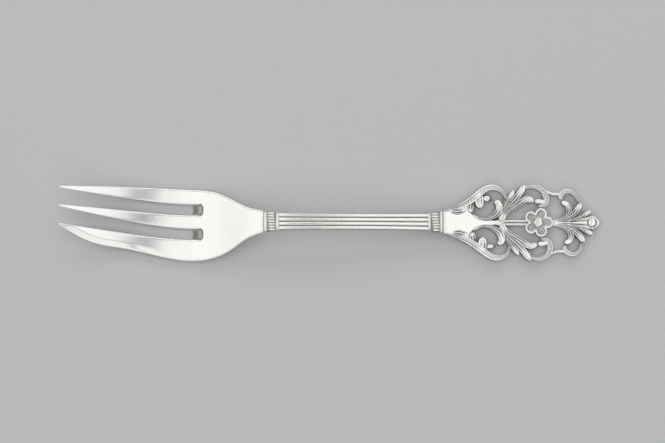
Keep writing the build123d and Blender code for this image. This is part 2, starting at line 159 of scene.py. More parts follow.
def silver(name, look):
    material = bpy.data.materials.new(name)
    material.use_nodes = True
    tree = material.node_tree
    shader = tree.nodes["Principled BSDF"]
    shader.inputs["Metallic"].default_value = 1.0
    place = addNode(tree, "ShaderNodeTexCoord")
    recess = addNode(tree, "ShaderNodeAttribute", attribute_name="recess")
    cloud = addNode(tree, "ShaderNodeTexNoise", {"Scale": look["cloudScale"], "Detail": noise["cloudDetail"]})
    uneven = addNode(tree, "ShaderNodeMapRange", {"To Min": look["recessLow"], "To Max": look["recessHigh"]})
    dark = addNode(tree, "ShaderNodeMath", operation="MULTIPLY", use_clamp=True)
    # Mix towards the dark colour by the painted shade and tarnish, made uneven by the cloud noise
    colour = addNode(tree, "ShaderNodeMix", {"A": look["bright"], "B": look["tarnishAndShadeColour"]}, data_type="RGBA")
    gloss = addNode(tree, "ShaderNodeMapRange", {"To Min": look["roughLow"], "To Max": look["roughHigh"]})
    dull = addNode(tree, "ShaderNodeMath", {1: look["recessRough"]}, operation="MULTIPLY_ADD")
    stretch = addNode(tree, "ShaderNodeMapping", {"Scale": look["scratchStretch"]})
    scratch = addNode(tree, "ShaderNodeTexNoise", {
        "Scale": look["scratchScale"], "Detail": noise["scratchDetail"]})
    bump = addNode(tree, "ShaderNodeBump", {
        "Strength": look["scratchDepth"], "Distance": noise["scratchReach"] * mm})
    joinUp(
        tree,
        (place, "Object", cloud, "Vector"), (cloud, "Fac", uneven, "Value"), (recess, "Fac", dark, 0),
        (uneven, "Result", dark, 1), (dark, "Value", colour, "Factor"),
        (colour, "Result", shader, "Base Color"), (cloud, "Fac", gloss, "Value"), (dark, "Value", dull, 0),
        (gloss, "Result", dull, 2), (dull, "Value", shader, "Roughness"),
        (place, "Object", stretch, "Vector"), (stretch, "Vector", scratch, "Vector"),
        (scratch, "Fac", bump, "Height"), (bump, "Normal", shader, "Normal"),
    )
    return material


# Each finish has bright silver and a dark colour that stands for tarnish and for painted shade
finishes = {
    "polished_silver": silver("polished silver", {
        "bright": (0.90, 0.89, 0.87, 1), "tarnishAndShadeColour": (0.16, 0.155, 0.15, 1), "cloudScale": 260.0,
        "recessLow": 0.7, "recessHigh": 1.1, "roughLow": 0.13, "roughHigh": 0.24, "recessRough": 0.25,
        "scratchStretch": (0.25, 1.0, 1.0), "scratchScale": 2600.0, "scratchDepth": 0.12,
    }),
    "chased_silver": silver("chased silver", {
        "bright": (0.88, 0.87, 0.85, 1), "tarnishAndShadeColour": (0.09, 0.087, 0.084, 1), "cloudScale": 900.0,
        "recessLow": 0.55, "recessHigh": 1.25, "roughLow": 0.16, "roughHigh": 0.32, "recessRough": 0.3,
        "scratchStretch": (1.0, 1.0, 1.0), "scratchScale": 3200.0, "scratchDepth": 0.2,
    }),
}
print("finishes made")


# A shell gathers points, faces and the values of painted shade and tarnish of one piece before its mesh is made
def newShell():
    return {"points": [], "faces": [], "recess": []}


def addPoints(shell, points, recess):
    start = len(shell["points"])
    shell["points"].extend(np.asarray(points, float).tolist())
    shell["recess"].extend(np.broadcast_to(recess, len(points)).tolist())
    return start


def addRings(shell, rings, recess):
    # Closed skin over a row of rings with equally many points, with a flat cap at each end
    rings = np.asarray(rings, float)
    rows, size = rings.shape[:2]
    start = addPoints(shell, rings.reshape(-1, 3), np.asarray(recess, float).reshape(-1))
    for row in range(rows - 1):
        a, b = start + row * size, start + (row + 1) * size
        for k in range(size):
            n = (k + 1) % size
            shell["faces"].append((a + k, a + n, b + n, b + k))
    shell["faces"].append(tuple(start + k for k in reversed(range(size))))
    shell["faces"].append(tuple(start + (rows - 1) * size + k for k in range(size)))


def faceOutwards(mesh):
    work = bmesh.new()
    work.from_mesh(mesh)
    bmesh.ops.dissolve_degenerate(work, dist=1e-8, edges=work.edges)
    bmesh.ops.recalc_face_normals(work, faces=work.faces)
    work.to_mesh(mesh)
    work.free()


def shellMesh(name, shell):
    mesh = bpy.data.meshes.new(name)
    mesh.from_pydata([(x * mm, y * mm, z * mm) for x, y, z in shell["points"]], [], shell["faces"])
    # The painted shade and tarnish go on the points as an attribute
    mesh.attributes.new("recess", "FLOAT", "POINT").data.foreach_set("value", shell["recess"])
    return mesh


def placeObject(name, data):
    thing = bpy.data.objects.new(name, data)
    bpy.context.scene.collection.objects.link(thing)
    return thing


def handOver(piece, node):
    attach(piece, "root")
    if node:
        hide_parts(node)


def finishPiece(name, shell, node, slot, sharp=42):
    mesh = shellMesh(name, shell)
    mesh.materials.append(finishes[slot])
    faceOutwards(mesh)
    mesh.shade_smooth()
    mesh.set_sharp_from_angle(angle=math.radians(sharp))
    handOver(placeObject(name, mesh), node)
    print("piece", name, len(mesh.polygons), "faces")


# Smooth plan curve through a few points, read at any length along it
class PlanCurve:
    finePerPoint, leastPoints = 60, 3

    def __init__(self, points):
        points = np.array(points, float)
        steps = np.linalg.norm(np.diff(points, axis=0), axis=1)
        knots = np.concatenate([[0], np.cumsum(steps)])
        count = len(points)
        rule, pull = np.eye(count), np.zeros((count, 2))
        for k in range(1, count - 1):
            before, after = steps[k - 1], steps[k]
            rule[k, k - 1:k + 2] = before, 2 * (before + after), after
            pull[k] = 6 * ((points[k + 1] - points[k]) / after - (points[k] - points[k - 1]) / before)
        bend = np.linalg.solve(rule, pull)
        fine = np.linspace(0, knots[-1], self.finePerPoint * count)
        k = np.clip(np.searchsorted(knots, fine, side="right") - 1, 0, count - 2)
        b = ((fine - knots[k]) / steps[k])[:, None]
        a = 1 - b
        curl = ((a**3 - a) * bend[k] + (b**3 - b) * bend[k + 1]) * (steps[k] ** 2 / 6)[:, None]
        self.fine = a * points[k] + b * points[k + 1] + curl
        self.run = np.concatenate([[0], np.cumsum(np.linalg.norm(np.diff(self.fine, axis=0), axis=1))])
        self.length = self.run[-1]
        self.lean = unit(np.gradient(self.fine, axis=0))

    def at(self, run):
        return columns(*[np.interp(run, self.run, self.fine[:, k]) for k in (0, 1)])

    def along(self, run):
        return unit(columns(*[np.interp(run, self.run, self.lean[:, k]) for k in (0, 1)]))

    def even(self, spacing):
        return self.at(np.linspace(0, self.length, max(self.leastPoints, int(self.length / spacing) + 1)))


def distanceTo(points, chain, closed):
    # Shortest way from each point to a chain of segments
    starts = chain if closed else chain[:-1]
    ends = np.roll(chain, -1, axis=0) if closed else chain[1:]
    best = np.full(len(points), np.inf)
    for a, b in zip(starts, ends):
        way = b - a
        share = np.clip((points - a) @ way / max(way @ way, tiny), 0, 1)
        best = np.minimum(best, np.linalg.norm(points - a - share[:, None] * way, axis=1))
    return best


def insideOf(points, chain):
    inside = np.zeros(len(points), bool)
    for a, b in zip(chain, np.roll(chain, -1, axis=0)):
        crosses = (a[1] > points[:, 1]) != (b[1] > points[:, 1])
        if abs(b[1] - a[1]) > tiny:
            where = a[0] + (points[:, 1] - a[1]) * (b[0] - a[0]) / (b[1] - a[1])
            inside ^= crosses & (points[:, 0] < where)
    return inside


def clearOf(points, outline, gap):
    # The points inside an outline that keep this gap to it
    points = points[insideOf(points, outline)]
    return points[distanceTo(points, outline, True) > gap]


sheetForm = {"ringKeep": 0.93, "gridGap": 0.25, "lineGap": 0.13, "onlyInside": 1, "merge": 1e-5}


def addSheet(shell, outline, top, bottom, loops, spacing, lines=(), lowerRim=None):
    # Plate with a rolled edge: points follow the outline inwards, then a plain grid fills the middle.
    # Lines add rows of points along a crease, and lowerRim places the outline's points on the underside.
    inward = leftOf(unit(np.roll(outline, -1, axis=0) - np.roll(outline, 1, axis=0)))
    fill = [clearOf(outline + inward * depth, outline, sheetForm["ringKeep"] * depth) for depth in loops]
    low, high = outline.min(axis=0), outline.max(axis=0)
    grid = np.meshgrid(*[np.arange(low[k], high[k], spacing) for k in (0, 1)])
    grid = np.stack(grid, -1).reshape(-1, 2)
    fill.append(clearOf(grid, outline, loops[-1] + sheetForm["gridGap"] * spacing))
    fill = np.concatenate(fill)
    rim = len(outline)
    edges = [(k, (k + 1) % rim) for k in range(rim)]
    for line in lines:
        fill = fill[distanceTo(fill, line, False) > sheetForm["lineGap"]]
    plan = [Vector(p) for p in np.concatenate([outline, fill, *lines])]
    points, _, faces, *_ = delaunay_2d_cdt(plan, edges, [], sheetForm["onlyInside"], sheetForm["merge"])
    points = np.array([tuple(p) for p in points])
    depth = distanceTo(points, outline, True)
    upper = columns(points, top(points, depth))
    lower = columns(points, bottom(points, depth))
    if lowerRim is not None:
        lower[:rim, :2] = lowerRim(points[:rim])
        lower[:rim, 2] = bottom(lower[:rim, :2], depth[:rim])
    a = addPoints(shell, upper, 0.0)
    b = addPoints(shell, lower, 0.0)
    shell["faces"].extend(tuple(a + k for k in face) for face in faces)
    shell["faces"].extend(tuple(b + k for k in reversed(face)) for face in faces)
    for k in range(rim):
        n = (k + 1) % rim
        shell["faces"].append((b + k, b + n, a + n, a + k))


def rolled(depth, width, height):
    # How far a rolled edge lies below the plate, at this distance from the outline
    share = np.clip(1 - depth / width, 0, 1)
    return height * (1 - dome(share))


def arc(centre, radius, start, end, steps):
    return np.array(centre) + radius * circle(np.radians(np.linspace(start, end, steps)))


# Fork head
head = {
    "neckWidth": 5.8, "rightShoulder": 8.7, "leftShoulder": 10.09, "rightEdge": 9.4, "tinePitch": 4.85,
    "tipWidth": 0.6, "slotRoot": 34.2, "slotWidth": 2.6, "slotCorner": 0.7, "slotSlope": 2.2,
    "rightTine": 4.05, "middleTine": 3.75, "leftWaist": 4.0, "rightBow": 0.4, "middleBow": 0.65,
    "leftBow": 0.45, "heelLength": 7.0, "heelDepth": 4.1, "step": 0.3, "rollAtTips": 0.25, "rollAtBowl": 0.9,
    "rightFlank": ((0, 0), (0.22, 0.17), (0.5, 0.62), (0.72, 0.9), (1, 1)), "rightWaistIn": 0.05,
    "leftFlank": ((0, 0), (0.22, 0.2), (0.5, 0.68), (0.72, 0.91)), "leftShoulderBack": 0.6,
    "noseLength": 3.4, "noseDepth": 2.2, "middleInnerBow": 0.1, "tolerance": 0.01,
    "rollDrop": 0.5, "rollLessAtCut": 0.7, "backRoll": 0.6, "backDrop": 0.4,
    "cutLength": 28.0, "cutBevel": 1.75, "cutDrop": 0.7, "cutFadeFrom": 0.45, "cutAtTip": 0.8, "cutTipRun": 4.0,
    "creaseSoft": 0.004, "creaseFrom": 2.5, "creaseClear": 0.3,
    "creaseRows": (0.76, 0.86, 0.95, 1.05, 1.14, 1.24),
    "loops": (0.04, 0.1, 0.2, 0.34, 0.52, 0.75, 1.05), "grid": 0.6,
    "cornerSteps": 7, "tipSteps": 9, "neckSteps": 18,
}
rootX = tipX + head["slotRoot"]
waistX = (tipX + rootX) / 2
halfTip = head["tipWidth"] / 2
neckHalf = head["neckWidth"] / 2
rightTipY = head["rightEdge"] - halfTip
middleTipY = rightTipY - head["tinePitch"]
leftTipY = middleTipY - head["tinePitch"]
rightRootY = head["rightShoulder"] - head["rightTine"]
middleRootY = rightRootY - head["slotWidth"]
leftSlotY = middleRootY - head["middleTine"]
leftRootY = leftSlotY - head["slotWidth"]


def flank(side, shoulder, shares):
    # Curve from the neck out to the shoulder of the bowl
    run = neckX - rootX
    return [(neckX - along * run, side * (neckHalf + out * (shoulder - neckHalf))) for along, out in shares]


slotEndX = rootX + head["slotSlope"]


def tineEdge(rootY, tipY, bow):
    start = (slotEndX - head["slotCorner"], rootY)
    middle = (waistX, (rootY + tipY) / 2 + bow)
    return PlanCurve([start, (rootX, rootY), middle, (tipX + halfTip, tipY)]).even(head["step"])


def slotEnd(upperY, lowerY):
    corner, turns = head["slotCorner"], head["cornerSteps"]
    upper = arc((slotEndX - corner, upperY - corner), corner, 90, 0, turns)
    lower = arc((slotEndX - corner, lowerY + corner), corner, 0, -90, turns)
    steps = int((upperY - lowerY - 2 * corner) / head["step"])
    wall = np.linspace(upper[-1], lower[0], steps + 2)[1:-1]
    return np.concatenate([upper, wall, lower])


def tineTip(tipY):
    return arc((tipX + halfTip, tipY), halfTip, 90, 270, head["tipSteps"])


rightContour = PlanCurve(
    flank(1, head["rightShoulder"], head["rightFlank"])
    + [(waistX, head["rightEdge"] - head["rightWaistIn"]), (tipX + halfTip, head["rightEdge"])]
).even(head["step"])
leftWaistY = (leftRootY + leftTipY) / 2 - head["leftBow"] - head["leftWaist"]
leftContour = PlanCurve(
    flank(-1, head["leftShoulder"], head["leftFlank"])
    + [
        (rootX + head["leftShoulderBack"], -head["leftShoulder"]),
        (waistX, leftWaistY),
        (tipX + head["heelLength"], leftTipY - head["heelDepth"]),
        (tipX + head["noseLength"], leftTipY - head["noseDepth"]),
        (tipX + halfTip, leftTipY - halfTip),
    ]
).even(head["step"])
rightSlotUpper = tineEdge(rightRootY, rightTipY - halfTip, -head["rightBow"])
rightSlotLower = tineEdge(middleRootY, middleTipY + halfTip, -head["middleInnerBow"])
leftSlotUpper = tineEdge(leftSlotY, middleTipY - halfTip, -head["middleBow"])
leftSlotLower = tineEdge(leftRootY, leftTipY + halfTip, -head["leftBow"])
headOutline = np.concatenate([
    rightContour[:-1], tineTip(rightTipY), rightSlotUpper[::-1][1:-1], slotEnd(rightRootY, middleRootY),
    rightSlotLower[1:-1], tineTip(middleTipY), leftSlotUpper[::-1][1:-1], slotEnd(leftSlotY, leftRootY),
    leftSlotLower[1:-1], tineTip(leftTipY), leftContour[::-1][1:],
    np.linspace((neckX, -neckHalf), (neckX, neckHalf), head["neckSteps"])[1:-1],
])


def headRoll(x):
    return head["rollAtTips"] + (head["rollAtBowl"] - head["rollAtTips"]) * blend(x, tipX, rootX)


def headTop(points, depth):
    x = points[:, 0]
    cutEnd = tipX + head["cutLength"]
    fade = 1 - blend(x, tipX + head["cutFadeFrom"] * head["cutLength"], cutEnd)
    fade = fade * (head["cutAtTip"] + (1 - head["cutAtTip"]) * blend(x, tipX, tipX + head["cutTipRun"]))
    toCut = distanceTo(points, leftContour, False)
    roll = headRoll(x)
    atCut = fade * (toCut < 2 * head["cutBevel"]) * (toCut < depth + head["tolerance"])
    level = topside(x) - rolled(depth, roll, head["rollDrop"] * roll * (1 - head["rollLessAtCut"] * atCut))
    inBevel = 1 - toCut / head["cutBevel"]
    return level - head["cutDrop"] * fade * (inBevel + np.sqrt(inBevel**2 + head["creaseSoft"])) / 2


def headBottom(points, depth):
    roll = head["backRoll"] * headRoll(points[:, 0])
    return underside(points[:, 0]) + rolled(depth, roll, head["backDrop"] * roll)


def headLowerRim(points):
    # The slots are shorter below, so their ends slope
    x, y = points[:, 0].copy(), points[:, 1]
    inSlot = (x > rootX - head["slotCorner"]) & (x < slotEndX + head["tolerance"])
    inSlot = inSlot & (y < rightRootY + head["tolerance"]) & (y > leftRootY - head["tolerance"])
    turned = x > slotEndX - head["slotCorner"]
    short = np.where(turned, x - head["slotSlope"], np.minimum(x, rootX - head["slotCorner"]))
    return columns(np.where(inSlot, short, x), y)


# Rows of points along both sides of the bevel's crease keep it even
cutLine = leftContour[leftContour[:, 0] < tipX + head["cutLength"]]
cutLine = cutLine[cutLine[:, 0] > tipX + head["creaseFrom"]]
inward = -leftOf(unit(np.gradient(cutLine, axis=0)))
cutRows = [cutLine + head["cutBevel"] * share * inward for share in head["creaseRows"]]
cutRows = [clearOf(row, headOutline, head["creaseClear"]) for row in cutRows]
headShell = newShell()
addSheet(headShell, headOutline, headTop, headBottom, head["loops"], head["grid"], cutRows, headLowerRim)
finishPiece("forkHead", headShell, "fork_head", "polished_silver", sharp=60)


# Shoulder plate: flares, is hollowed beside the curled leaves and ends in a tongue
shoulder = {
    "half": 2.9, "flareRun": 6.8, "flareSpread": 2.5, "corner": (-17.5, 2.9), "hollow": (-16.1, 1.5),
    "tongueRoot": (-12.2, 0.875), "tongueTip": (-8.6, 0.15), "step": 0.25, "roll": 0.55,
    "flareShares": ((0, 0), (0.3, 0.16), (0.65, 0.54), (1, 1)), "cornerLead": (0.7, 0.8), "tongueSwell": 1.04,
    "rollDrop": 0.55, "backRoll": 0.3, "backDrop": 0.12, "loops": (0.05, 0.12, 0.22, 0.36, 0.55), "grid": 0.45,
    "edgeSteps": 12, "tongueSteps": 18, "rootSteps": 20,
}


def shoulderEdge(side):
    half, run, spread = shoulder["half"], shoulder["flareRun"], shoulder["flareSpread"]
    marks = [shoulder[key] for key in ("corner", "hollow", "tongueRoot", "tongueTip")]
    corner, hollow, root, tip = [(rosetteX + u, side * v) for u, v in marks]
    flare = [(shoulderX + run * u, side * (half + spread * v)) for u, v in shoulder["flareShares"]]
    lead = shoulder["cornerLead"]
    before = (corner[0] - lead[0], corner[1] + lead[1] * side)
    landing = ((hollow[0] + root[0]) / 2, shoulder["tongueSwell"] * root[1])
    hollowed = PlanCurve([before, corner, hollow, landing, root]).even(shoulder["step"])
    hollowed = hollowed[hollowed[:, 0] > corner[0]]
    return np.concatenate([
        PlanCurve(flare).even(shoulder["step"]), np.linspace(flare[-1], corner, shoulder["edgeSteps"])[1:],
        hollowed, np.linspace(hollowed[-1], tip, shoulder["tongueSteps"])[1:],
    ])


rootHalf = shoulder["half"]
shoulderOutline = np.concatenate([
    shoulderEdge(-1), shoulderEdge(1)[::-1],
    np.linspace((shoulderX, rootHalf), (shoulderX, -rootHalf), shoulder["rootSteps"])[1:-1],
])


def shoulderTop(points, depth):
    return topside(points[:, 0]) - rolled(depth, shoulder["roll"], shoulder["rollDrop"] * shoulder["roll"])


def shoulderBottom(points, depth):
    return underside(points[:, 0]) + rolled(depth, shoulder["backRoll"], shoulder["backDrop"])


shoulderShell = newShell()
addSheet(shoulderShell, shoulderOutline, shoulderTop, shoulderBottom, shoulder["loops"], shoulder["grid"])
finishPiece("shoulder", shoulderShell, "shoulder", "polished_silver", sharp=60)


# Ferrules: plain fillets at both ends, and a lower band between them that carries the beads
collar = {
    "outerWidth": 5.85, "innerWidth": 4.75, "thick": 3.0, "fillet": 0.85, "step": 0.2, "round": 0.14,
    "crown": 0.32, "back": 0.35, "beads": 7, "beadWide": 0.86, "beadTall": 0.46, "beadSunk": 0.03,
    "length": 4.0, "beadLap": 0.25, "corner": 0.35, "bandDark": 0.7,
    "filletCorner": (0.05, 0.06), "wall": 0.04, "backShare": 0.5, "ringSteps": 41,
}
ringShares = np.sin(np.radians(np.linspace(-90, 90, collar["ringSteps"])))


def bandRing(x, half, top, bottom):
    # Ring across the fork with a crowned top, a rounded back and soft corners
    y = half * ringShares
    soften = rolled(half - np.abs(y), collar["corner"], collar["corner"])
    upper = columns(x, y, top - collar["crown"] * ringShares**2 - soften)
    lower = columns(x, y, bottom + collar["back"] * ringShares**2 + soften)
    return np.concatenate([upper, lower[::-1][1:-1]])


def collarWidth(x, stemSide, farSide):
    share = (x - stemSide) / (farSide - stemSide)
    return collar["innerWidth"] + (collar["outerWidth"] - collar["innerWidth"]) * share


def makeCollar(name, node, stemSide, farSide):
    start, end = min(stemSide, farSide), max(stemSide, farSide)
    soft, fillet, step = collar["round"], collar["fillet"], collar["step"]
    cornerIn, cornerOut = collar["filletCorner"]
    stations = [(start, soft), (start + cornerIn, cornerOut), (start + soft, 0), (start + fillet - soft, 0),
                (start + fillet - cornerIn, cornerOut), (start + fillet, soft),
                (start + fillet + collar["wall"], step)]
    stations += [(end + start - x, inset) for x, inset in reversed(stations)]
    rings, recess = [], []
    for x, inset in stations:
        half = collarWidth(x, stemSide, farSide) / 2 - inset
        low = float(underside(x))
        rings.append(bandRing(x, half, low + collar["thick"] - inset, low + collar["backShare"] * inset))
        # The lower band gets tarnish and painted shade between its beads, and the fillets stay bright
        recess.append(np.full(len(rings[-1]), collar["bandDark"] if inset >= step else 0.0))
    shell = newShell()
    addRings(shell, np.array(rings)[:, ::-1], np.array(recess))
    finishPiece(name, shell, node, "chased_silver", sharp=40)


makeCollar("neckCollar", "neck_collar", stemX, neckX)
makeCollar("finialCollar", "finial_collar", stemEndX, shoulderX)


# Leaves and scrolls are bars along a plan curve with a shaped top
barForm = {
    "step": 0.16, "draft": 0.08, "draftShare": 0.3, "wallDark": 0.6, "smooth": 9, "endSteps": 11,
    "endLeast": 0.0016, "round": 0.4, "leastSteps": 8,
}
leafForm = {
    "fullHalf": 0.8, "crown": 0.1, "edgeShare": 0.35, "edgeDrop": 0.14, "edgeDark": 0.7, "edgeDarkFrom": 0.3,
    "edgeDarkWidth": 0.13, "veinPlace": 0.42, "veinWidth": 0.16, "veinDepth": 0.15, "veinDark": 1.1,
    "veinStart": 0.08, "veinIn": 0.12, "veinEnd": 0.86, "veinOut": 0.22,
}
scrollForm = {
    "fullHalf": 0.6, "rim": 0.46, "rimShare": 0.6, "lip": 0.34, "lipShare": 0.4, "step": 0.1, "wall": 0.06,
    "fall": 0.08, "edge": 0.1, "crease": 0.09, "creaseInset": 0.05,
    "bandDark": 0.12, "rimDark": 0.6, "lipDark": 0.45,
}
fluteForm = {
    "start": 0.05, "end": 0.52, "runIn": 0.1, "runOut": 0.12, "bandLap": 0.02, "width": 0.14, "depth": 0.13,
    "place": -0.35, "dark": 0.3,
}
cupForm = {
    "round": 0.3, "level": 0.65, "groovePlace": 0.4, "grooveWidth": 0.14, "grooveDepth": 0.1,
    "grooveDark": 0.65, "grooveEnd": 0.9, "grooveOut": 0.3,
}
ribForm = {"round": 0.3, "grooveWidth": 0.13, "grooveDark": 0.85, "dark": 0.1}
topShares = np.array([1, 0.985, 0.96, 0.92, 0.87, 0.81, 0.74, 0.66, 0.58, 0.5, 0.43, 0.36, 0.29, 0.2, 0.1])
topShares = np.concatenate([topShares, [0], -topShares[::-1]])


def leafTop(across, half, share):
    # Height below the leaf's level and its darkening, across a full leaf with two veins that end before its
    # tip: tarnish and painted shade in the veins, and painted shade along the edges
    form = leafForm
    size = min(1.0, half / form["fullHalf"])
    edge = half - np.abs(across)
    fade = ramp(share, form["veinStart"], form["veinIn"]) * ramp(form["veinEnd"], share, form["veinOut"])
    vein = fade * hump(np.abs(across) - form["veinPlace"] * half, form["veinWidth"] * size)
    level = -form["crown"] * size * (across / half) ** 2 - form["veinDepth"] * size * vein
    level = level - rolled(edge, form["edgeShare"] * half, form["edgeDrop"] * size)
    edgeDark = form["edgeDark"] * min(1.0, share / form["edgeDarkFrom"]) * hump(edge, form["edgeDarkWidth"])
    return level, np.clip(form["veinDark"] * vein + edgeDark, 0, 1)


def scrollParts(half):
    # Widths of a scroll's outer rim and hatched band; the rest is its inner lip
    rim = np.minimum(scrollForm["rim"], scrollForm["rimShare"] * half)
    return rim, 2 * half - rim - np.minimum(scrollForm["lip"], scrollForm["lipShare"] * half)


def scrollTop(across, half, share, bandStart=0.04):
    # The same for a scroll, with its rim on the positive side and a sunk band from bandStart on; tarnish and
    # painted shade in the sunk band and in the creases beside the rim and the lip
    form = scrollForm
    rim, band = scrollParts(half)
    edge = half - across
    size = min(1.0, half / form["fullHalf"])
    sunk = ramp(share, bandStart, form["wall"])
    inBand = sunk * ramp(edge, rim, form["wall"]) * ramp(rim + band, edge, form["wall"])
    outer = rolled(np.minimum(edge, 2 * half - edge), form["edge"], form["edge"])
    level = -outer - size * (form["step"] * inBand + form["fall"] * edge / (2 * half))
    atRim = hump(edge - (rim + form["creaseInset"]), form["crease"])
    atLip = sunk * hump(edge - (rim + band - form["creaseInset"]), form["crease"])
    dark = form["bandDark"] * inBand + form["rimDark"] * atRim + form["lipDark"] * atLip
    return level, np.clip(dark, 0, 1)


def sheathTop(across, half, share):
    # Scroll whose plain first half has two flutes instead of the band, the flutes darkened with tarnish and
    # painted shade
    form = fluteForm
    level, recess = scrollTop(across, half, share, form["end"] - form["bandLap"])
    fade = ramp(share, form["start"], form["runIn"]) * ramp(form["end"], share, form["runOut"])
    places = (half - scrollParts(half)[0] - scrollForm["creaseInset"], form["place"] * half)
    flute = fade * sum(hump(across - place, form["width"]) for place in places)
    return level - form["depth"] * flute, np.clip(recess + form["dark"] * flute, 0, 1)


def roundTop(across, half, share):
    # Plain round bar
    return barForm["round"] * half * (dome(across / half) - 1), np.zeros(len(across))


def cupTop(across, half, share):
    # Cushion with two soft grooves, for the cups that hold the buds; the grooves are darkened with tarnish and
    # painted shade
    level = cupForm["round"] * (dome(across / half) - cupForm["level"])
    groove = hump(np.abs(across) - cupForm["groovePlace"] * half, cupForm["grooveWidth"])
    groove = ramp(cupForm["grooveEnd"], share, cupForm["grooveOut"]) * groove
    return level - cupForm["grooveDepth"] * groove, np.clip(cupForm["grooveDark"] * groove, 0, 1)


def ribTop(across, half, share):
    # Two round ribs side by side, with tarnish and painted shade in the groove between them, and the whole bar
    # a little darker
    level = ribForm["round"] * half * (dome((np.abs(across) - half / 2) / (half / 2)) - 1)
    return level, np.clip(ribForm["grooveDark"] * hump(across, ribForm["grooveWidth"]) + ribForm["dark"], 0, 1)


finial = {"skew": 0.07, "scrollHeight": 2.1, "leafHeight": 2.25, "stalkHeight": 1.6, "lobeRise": 0.45}
scrollHeight, leafHeight, stalkHeight = finial["scrollHeight"], finial["leafHeight"], finial["stalkHeight"]


def finialPlace(points, side):
    # Plan places in the finial: u runs from the rosette to the tip and v outwards from the axis
    points = np.array(points, float)
    u = rosetteX + points[:, 0] - finial["skew"] * side * points[:, 1]
    return columns(u, side * points[:, 1])


def addBar(shell, side, points, widths, heights, top, base=0.0, startRound=0.0, endRound=0.0):
    curve = PlanCurve(finialPlace(points, side))
    run = np.linspace(0, curve.length, max(barForm["leastSteps"], int(curve.length / barForm["step"])))
    swing = 1 - np.sin(np.radians(np.linspace(0, 90, barForm["endSteps"])))
    if endRound:
        run = np.concatenate([run[run < curve.length - endRound], curve.length - endRound * swing])
    if startRound:
        run = np.concatenate([startRound * swing[::-1], run[run > startRound]])
    place, normal = curve.at(run), leftOf(curve.along(run))
    share = run / curve.length
    smooth = barForm["smooth"]
    width = np.pad(spreadOut(widths, share), smooth // 2, mode="edge")
    width = np.convolve(width, np.ones(smooth) / smooth, mode="valid")
    for near, reach in ((run, startRound), (curve.length - run, endRound)):
        if reach:
            width = width * np.sqrt(np.clip(1 - np.clip(1 - near / reach, 0, 1) ** 2, barForm["endLeast"], 1))
    height = spreadOut(heights, share)
    turn = side if top in (scrollTop, sheathTop) else 1
    rings, recess = [], []
    for k in range(len(run)):
        half = width[k] / 2
        lip = half - min(barForm["draft"], barForm["draftShare"] * half)
        across = lip * topShares
        level, hollow = top(across * turn, lip, share[k])
        ground = float(underside(place[k][0]))
        out = np.concatenate([across, [-half, 0, half]])
        up = np.concatenate([ground + height[k] + level, [ground + base] * 3])
        rings.append(columns(place[k] + out[:, None] * normal[k], up))
        # The bar's walls get painted shade
        recess.append(np.concatenate([hollow, [barForm["wallDark"]] * 3]))
    addRings(shell, rings, recess)


def addBall(shell, centre, radii, segments=28, rows=16, pole=88):
    flat = circle(np.linspace(0, 2 * np.pi, segments, endpoint=False))
    rings = []
    for tilt in np.radians(np.linspace(-pole, pole, rows)):
        ring = columns(flat * np.cos(tilt), np.sin(tilt))
        rings.append(np.array(centre) + ring * np.array(radii))
    addRings(shell, rings, np.zeros((rows, segments)))


def addTurned(shell, centre, outline, recess, segments=64):
    # Turned shape about Z from (radius, height) pairs, with a flat cap at each end
    flat = circle(np.linspace(0, 2 * np.pi, segments, endpoint=False))
    rings = [columns(np.array(centre) + r * flat, z) for r, z in outline]
    addRings(shell, rings, np.repeat(np.array(recess)[:, None], segments, axis=1))


def lobeHeight(u):
    return float(thickness(rosetteX + u)) + finial["lobeRise"]


# A bar is its plan points, widths and heights along it, its top, its base, and the reach of its rounded ends.
# The first bar of a scroll carries the hatching, between two shares of its length.
outerScroll = {
    "bars": (
        (((-24.1, 2.95), (-21.5, 3.6), (-18.3, 5.0), (-15.4, 7.0), (-13.3, 8.6), (-11.3, 9.2), (-9.3, 8.55),
          (-8.2, 7.2), (-7.85, 5.9)), (0.4, 0.9, 1.35, 1.65, 1.8, 1.9, 1.75, 1.6, 1.3, 0.9, 0.55),
         (scrollHeight + 0.85, scrollHeight), sheathTop, 0.05, 0.0, 0.25),
        (((-22.8, 3.0), (-20.9, 2.75), (-18.6, 3.6)), (0.5, 1.5, 1.8, 1.6, 1.2),
         (lobeHeight(-22.8), lobeHeight(-18.6)), leafTop, 0.3, 0.3, 0.6),
        (((-16.7, 6.0), (-17.25, 4.5), (-17.45, 2.6)), (1.5, 1.85, 1.95, 1.7),
         (1.5, lobeHeight(-17), lobeHeight(-17.45)), leafTop, 0.2, 0.0, 0.85),
        (((-14.6, 7.7), (-14.8, 6.1), (-14.75, 3.8)), (1.9, 2.5, 2.55, 2.3),
         (1.6, 2.35, 2.35), cupTop, 0.1, 0.5, 1.0),
    ),
    "hatch": (0.56, 0.96),
    "buds": {1: ((-12.8, 6.25), (1.4, 1.05, 0.95)), -1: ((-13.0, 6.2), (1.6, 0.8, 0.8))},
    "budLevel": 1.4,
}
